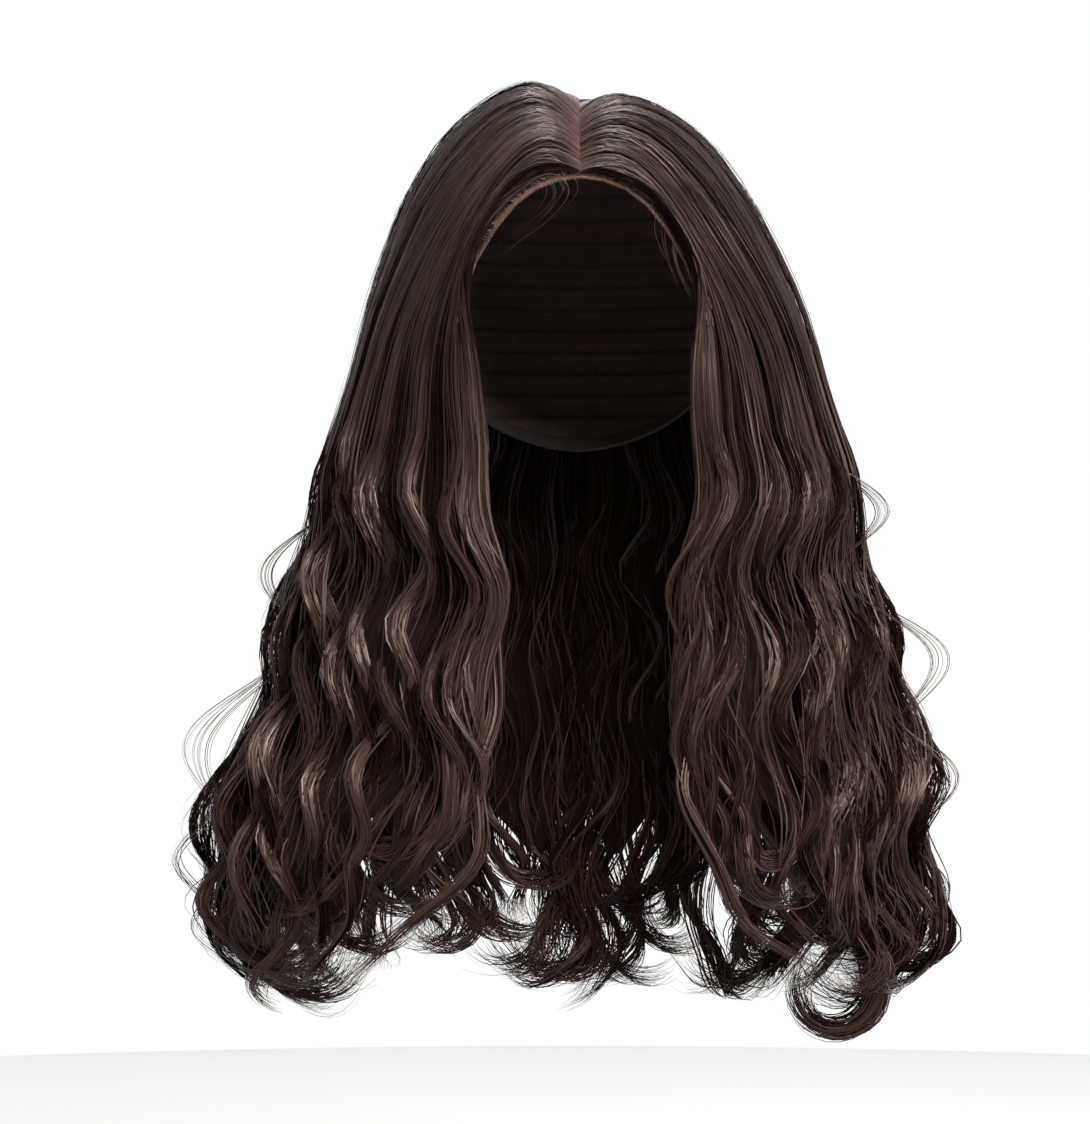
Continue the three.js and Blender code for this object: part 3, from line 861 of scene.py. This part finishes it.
def wisp_strands(side, count, steps=28):
    drop, away = np.array(wisps[side]).T
    forward = 0.55 + 0.38 * smooth(drop, 0.42, 0.68)
    knots = stack(side * away, -forward * front_depth, -ear_line - drop * fall_length)
    line = smooth_line(knots, steps)
    share = np.linspace(0, 1, steps)
    swing = smooth(share, 0.1, 0.4) * (1 - smooth(share, 0.6, 0.9))
    line[:, 0] += 0.005 * np.sin(14 * share) * swing
    radius = 0.0045 * (1 - 0.62 * smooth(share, 0.2, 0.8))
    made = bundle(line, count, radius, 0.4, rng.normal(0, 0.07, count))
    return *made, rng.uniform(0.0004, 0.0007, (count, 1)) * (1 - 0.8 * smooth(share, 0.7, 1))


def loop_strands(side, count=14, steps=24):
    paths = []
    for begin, length, reach in loops[side]:
        share = np.linspace(0, 1, steps)[None, :] + rng.uniform(-0.1, 0.1, (count, 1))
        swell = np.sin(np.pi * np.clip(share, 0, 1)) ** 1.6
        drop = np.clip(begin + length * share, 0, 1)
        u = rng.uniform(0.36, 0.50, (count, 1)) + 0 * share
        _, out = along_and_out(side, u, drop)
        stand = rng.uniform(0.45, 1, (count, 1)) * reach * swell
        paths.append(plan(side, u, drop, 0.3 * (1 - swell)) + out * stand[..., None])
    paths = np.concatenate(paths)
    width = 0.00042 + 0 * paths[..., 0]
    return paths, unit(paths * [0.2, 1, 0]), rng.uniform(-0.6, 0.6, (len(paths), 1)) + 0 * width, width


# %% [markdown]
# ## The hairline
# A lace front is loved for its edge. Single hairs are knotted into the lace, stand up for a
# few millimetres, and then bend over into the hair beside them. Shorter baby hairs fall
# forward over the brow. Both start on the lace itself.

# %% Hairline and baby hairs
def hairline_strands(side, count=620, steps=8):
    across = rng.uniform(0, 1, count) ** 0.9 * 56
    above = rng.uniform(0, 1, count) ** 0.8 * 7.5
    root = on_egg(aim_at(side * across, cap_at("hairline", across) + 0.6 + above), 0.0018)
    share = np.clip(across / 70 + rng.uniform(0.12, 0.3, count), 0.1, 0.9)
    goal = crown(side, rng.uniform(0, 0.05, count), share, rng.uniform(0.1, 0.75, count))
    rise = unit(root - head_centre) * 0.006 + np.array([0.0, 0.006, 0.006])
    rise = rise + rng.normal(0, 0.0012, (count, 3))
    bend = root + rise + (goal - root) * 0.25
    t = np.linspace(0, 1, steps)[None, :, None]
    paths = root[:, None] * (1 - t) ** 2 + bend[:, None] * 2 * t * (1 - t) + goal[:, None] * t * t
    facing = unit(mix(unit(paths - head_centre), np.array([0.0, -1.0, 0.1]), 0.6))
    width = rng.uniform(0.00035, 0.0006, count)[:, None] * (0.6 + 0.4 * t[..., 0])
    return paths, facing, rng.uniform(-0.6, 0.6, (count, 1)) + 0 * width, width


def baby_hairs(side, count=9, steps=14):
    across = np.abs(rng.normal(9 if side < 0 else 33, 3.0, count))
    root = on_egg(aim_at(side * across, cap_at("hairline", across) + 0.9), 0.0014)
    length = rng.uniform(0.018, 0.038, count)[:, None]
    t = np.linspace(0, 1, steps)[None, :]
    bow = rng.uniform(0.7, 1.2, (count, 1))
    lean = (0.75 if side < 0 else 0.3) * bow * side
    sideways = lean * (t**2 - 0.25 * np.sin(np.pi * t)) * length
    down = -(t - 0.12 * np.sin(np.pi * t)) * length
    forward = -0.004 * np.sin(np.pi * t * 0.8) + 0.004 * t * t + 0 * length
    paths = root[:, None] + np.stack([sideways, forward, down], axis=-1)
    facing = np.zeros_like(paths) + np.array([0.0, -1.0, 0.0])
    width = 0.00024 * (1 - 0.7 * t) + 0 * length
    return paths, facing, 0.5 + 0 * width, width


# %% [markdown]
# ## Building the pieces
# Each side becomes four objects, one for each solid that it stands for: the hair on the cap,
# and the front, side and back falls. The strands come from one array, so the tones and paths
# run on from one object to the next.

# %% Build the hair pieces
falls = ("front", "side", "back")
cut = 0.35
hair_faces = 0
for side, side_name in ((-1, "left"), (1, "right")):
    paths, facing, roll, width, locks, seen = strand_paths(side)
    split = crown_steps - 1
    edges = ribbon_edges(paths, facing, roll, width)
    top = ribbon_faces(edges[seen, : split + 1], 0.0, cut, seen)
    parts = [(*top, 0), (*crown_body(side), 1)]
    for short in (hairline_strands(side), baby_hairs(side)):
        parts.append((*ribbon_faces(ribbon_edges(*short), 0.0, cut), 0))
    materials = [strand_material, shade_body_material]
    piece = mesh_object(f"crown_strands_{side_name}", parts, materials, (0, 1))
    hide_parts(f"crown_hair_{side_name}")
    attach(piece, "root")
    hair_faces += 2 * len(piece.data.polygons)
    print(piece.name, 2 * len(piece.data.polygons), "triangles")
    for place, fall in enumerate(falls):
        chosen = (locks * falls_per_side) // locks_per_side == place
        parts = [(*ribbon_faces(edges[chosen, split:], cut, 1.0), 0)]
        first, last = max(place / falls_per_side, 0.04), (place + 1) / falls_per_side
        parts.append((*fall_body(side, first, last + 0.012 * (side < 0 and fall == "back")), 1))
        wisp, loop = wisp_strands(side, 90 if side < 0 else 60), loop_strands(side)
        extra = {"front": [wisp], "side": [loop], "back": []}[fall]
        if side > 0 and fall == "front":
            extra.append(hook_strands())
        for strands in extra:
            parts.append((*ribbon_faces(ribbon_edges(*strands), 0.7, 1.0), 0))
        span = np.flatnonzero(chosen)[[0, -1]] / len(locks) + [0, 1 / len(locks)]
        piece = mesh_object(f"fall_strands_{fall}_{side_name}", parts, materials, span)
        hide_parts(f"fall_{fall}_{side_name}")
        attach(piece, "root")
        hair_faces += 2 * len(piece.data.polygons)
        print(piece.name, 2 * len(piece.data.polygons), "triangles")
print("hair triangles in all:", hair_faces)

# %% [markdown]
# ## Lace, net and elastic
# These three are CAD pieces and keep their shape. Each only needs a cloth: a sheer tan lace
# with a fine open mesh, a darker stretch net, and a dense woven band.

# %% Cloth materials
def cloth_material(name, low, high, cell, ridge, track=0.0, sheer=0.0):
    """A knitted mesh of small cells.

    A track spacing adds sewn rows, dark and raised. sheer is how clear the holes are.
    """
    material, shader, start = new_material(name, Roughness=0.85, Specular_IOR_Level=0.2)
    place = start.node("ShaderNodeTexCoord", output=3)
    voronoi = {"feature": "DISTANCE_TO_EDGE"}
    cells = start.node("ShaderNodeTexVoronoi", voronoi, Vector=place, Scale=1 / cell)
    thread = 1 - cells * 5.0
    speckle = start.node("ShaderNodeTexNoise", Vector=place, Scale=90.0, Detail=3.0)
    height = start.node("ShaderNodeClamp", Value=thread) * 0.5
    tone = height + speckle * 0.5
    if track:
        level = start.node("ShaderNodeSeparateXYZ", output=2, i0=place)
        row = (level * (2 * math.pi / track)).sine() * 0.5 + 0.5
        sewn = row.power(6.0)
        tone = tone * (1 - sewn * 0.85)
        height = height + sewn * 2.0
    feed(tone.blend(low, high), shader, "Base Color")
    bump = start.node("ShaderNodeBump", Height=height, Distance=ridge, Strength=0.6)
    feed(bump, shader, "Normal")
    if sheer:
        feed((1 - sheer) + start.node("ShaderNodeClamp", Value=thread) * sheer, shader, "Alpha")
    return material


def cad_look(node, material):
    piece = next(o for o in bpy.data.objects if o.name == node)
    piece.data.materials.clear()
    piece.data.materials.append(material)
    print(node, "gets", material.name)


lace_tones = (0.035, 0.016, 0.012, 1), (0.105, 0.060, 0.046, 1)
net_tones = (0.012, 0.008, 0.0065, 1), (0.055, 0.036, 0.028, 1)
band_tones = (0.008, 0.006, 0.0055, 1), (0.03, 0.022, 0.02, 1)
lace_cloth = cloth_material("lace_mesh", *lace_tones, 0.0011, 0.0003, sheer=0.45)
net_cloth = cloth_material("cap_mesh", *net_tones, 0.0013, 0.0006, 0.011)
band_cloth = cloth_material("band_weave", *band_tones, 0.0009, 0.0003)
cad_look("lace_front", lace_cloth)
cad_look("cap_net", net_cloth)
cad_look("nape_band", band_cloth)

# %% [markdown]
# ## Studio
# The camera looks straight on at chin height from just over two metres, which keeps the hair
# from bulging towards it. A large soft light hangs high in front, a second fills from the
# side, and a pale floor lies just under the longest tips.

# %% Floor, lights and camera
image_width, image_height = 1090, 1124
metres_per_pixel = 0.475e-3
camera_distance, sharp_plane = 2.2, -0.04
camera_place = (-0.0166, -camera_distance, -0.2119)

floor_drop = 0.14
bpy.ops.mesh.primitive_circle_add(vertices=96, radius=1.3, fill_type="NGON",
                                  location=(0, 0, cad_box[0][2] - floor_drop))
floor = bpy.context.object
floor.name = "floor"
pale = (0.33, 0.33, 0.33, 1)
floor_material, _, _ = new_material("floor_pale", Base_Color=pale, Roughness=0.8)
floor.data.materials.append(floor_material)


def area_light(name, place, aim, size, power):
    light = bpy.data.lights.new(name, "AREA")
    light.shape, light.size, light.energy = "DISK", size, power
    holder = bpy.data.objects.new(name, light)
    bpy.context.scene.collection.objects.link(holder)
    holder.location = place
    way = np.array(aim) - np.array(place)
    tilt = math.atan2(math.hypot(way[0], way[1]), -way[2])
    holder.rotation_euler = (tilt, 0, math.atan2(way[1], way[0]) - math.pi / 2)
    return holder


area_light("key", (0.5, -1.5, 1.5), (0, 0, -0.15), 0.9, 150)
area_light("fill", (1.4, -1.5, 0.3), (0, 0, -0.25), 0.8, 44)
area_light("top", (0.0, 0.6, 1.6), (0, 0, -0.1), 0.9, 45)

world = bpy.data.worlds.new("studio")
bpy.context.scene.world = world
world.use_nodes = True
world.node_tree.nodes["Background"].inputs["Color"].default_value = (1, 1, 1, 1)
world.node_tree.nodes["Background"].inputs["Strength"].default_value = 1.0
bpy.context.scene.view_settings.view_transform = "Standard"

lens = bpy.data.cameras.new("camera")
lens.sensor_width = 36.0
lens.lens = 36.0 * (camera_distance + sharp_plane) / (image_height * metres_per_pixel)
camera = bpy.data.objects.new("camera", lens)
camera.location = camera_place
camera.rotation_euler = (math.radians(90), 0, 0)
bpy.context.scene.collection.objects.link(camera)
bpy.context.scene.camera = camera
print("lens in millimetres:", round(lens.lens, 1))
